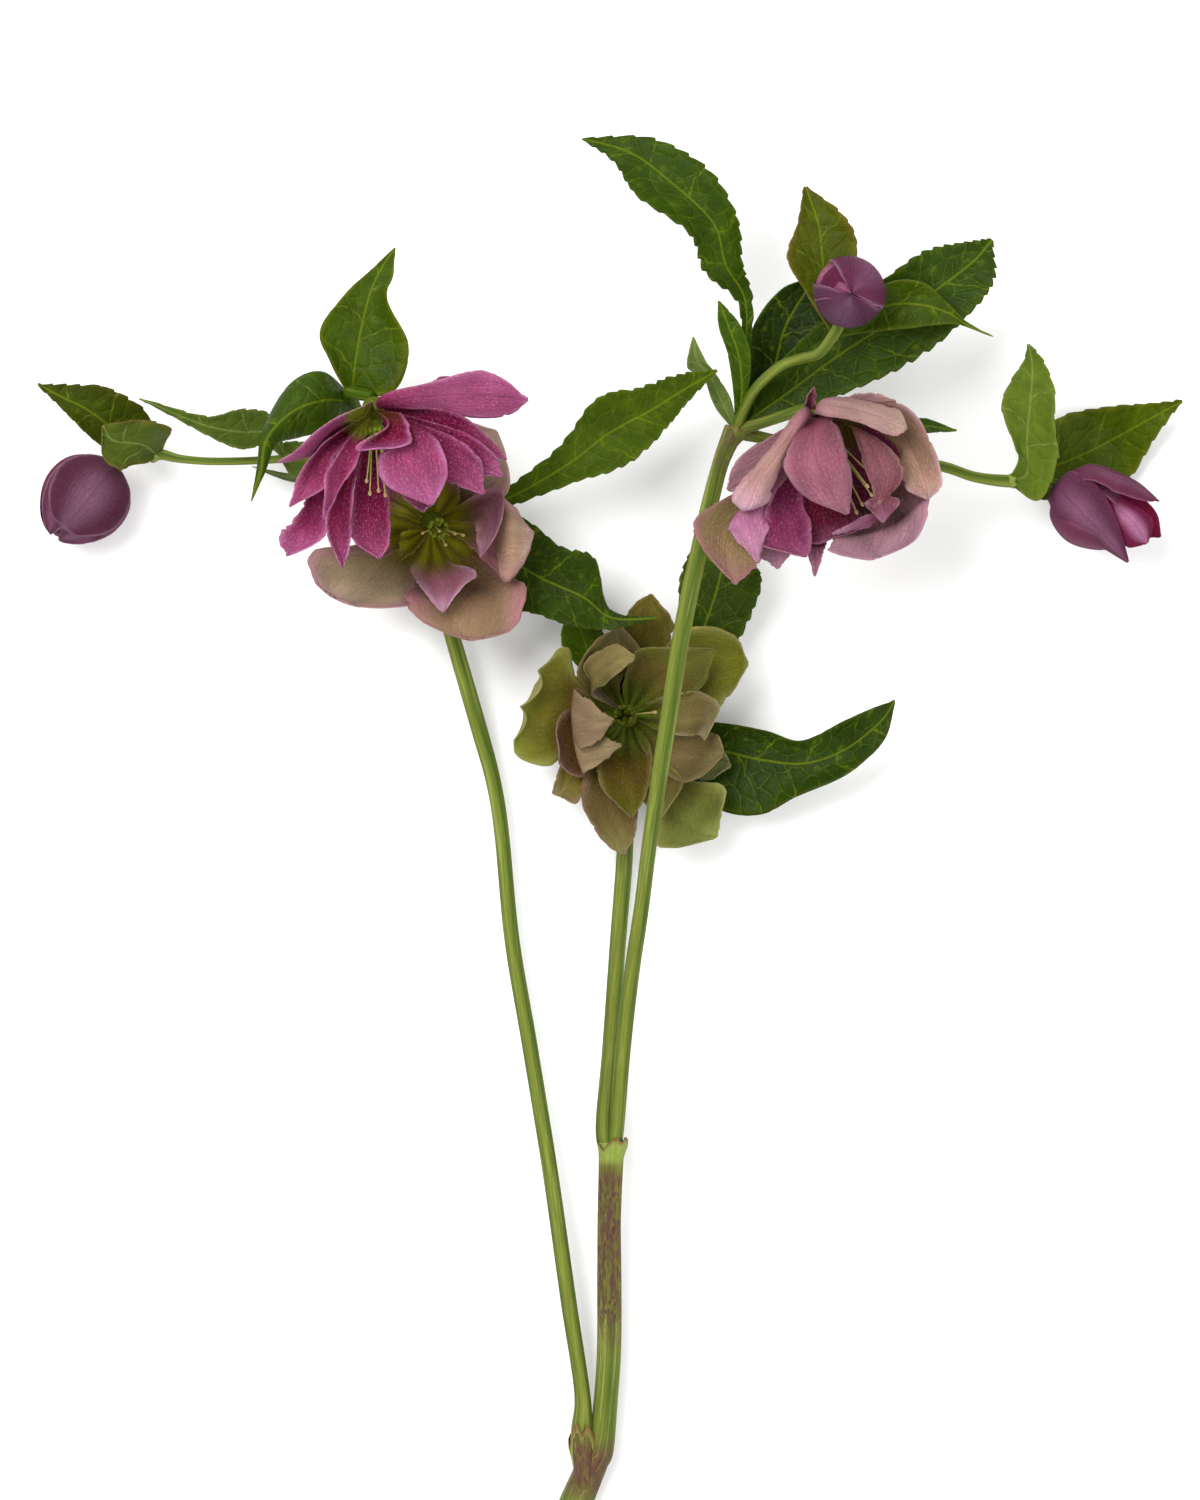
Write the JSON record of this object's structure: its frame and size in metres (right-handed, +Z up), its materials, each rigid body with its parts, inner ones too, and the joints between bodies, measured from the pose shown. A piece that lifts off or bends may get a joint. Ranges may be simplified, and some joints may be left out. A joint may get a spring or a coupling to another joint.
{
  "type": "hellebore flower",
  "caption": "Cut hellebore stem lying down: double flowers, closed and opening buds and toothed leaves on forked green stems, for floral display.",
  "frame": {"origin": "centre of the bounding box's footprint, on the surface that the stem lies on", "axes": "+Y along the stem from its cut end to the flowers, +Z up from the surface toward the viewer"},
  "size_m": [0.3213, 0.3913, 0.0772],
  "materials": {
    "bloom_1": "matt magenta petal with dark veins",
    "bloom_2": "matt cream and dusty pink petal",
    "bloom_3": "matt olive brown petal with mauve edges",
    "bloom_4": "matt dusty rose petal with cream mottling outside",
    "heart": "soft green pods and nectaries with ochre anthers",
    "bud": "satin dark mauve sepals with crimson edges",
    "leaf": "satin deep green with pale net veins",
    "leaf_pale": "matt grey-green leaf underside",
    "stem": "satin light green with pale ridges"
  },
  "bodies": {
    "root": {"bloom_1": "bloom_1", "bloom_1_heart": "heart", "bloom_2": "bloom_2", "bloom_2_heart": "heart", "bloom_3": "bloom_3", "bloom_3_heart": "heart", "bloom_4": "bloom_4", "bloom_4_heart": "heart", "bud_left": "bud", "bud_right": "bud", "bud_top": "bud", "leaf_a": "leaf", "leaf_a2": "leaf_pale", "leaf_b": "leaf_pale", "leaf_c": "leaf", "leaf_d": "leaf", "leaf_e2": "leaf", "leaf_e3": "leaf_pale", "leaf_f": "leaf", "leaf_g": "leaf", "leaf_h": "leaf", "leaf_i": "leaf", "leaf_j": "leaf", "leaf_k": "leaf", "leaf_l": "leaf", "leaf_m": "leaf", "leaf_n": "leaf", "leaf_o": "leaf", "leaf_p": "leaf", "leaf_q": "leaf_pale", "leaf_w": "leaf", "leaf_x": "leaf_pale", "leaf_y": "leaf", "stem": "stem"}
  },
  "joints": []
}
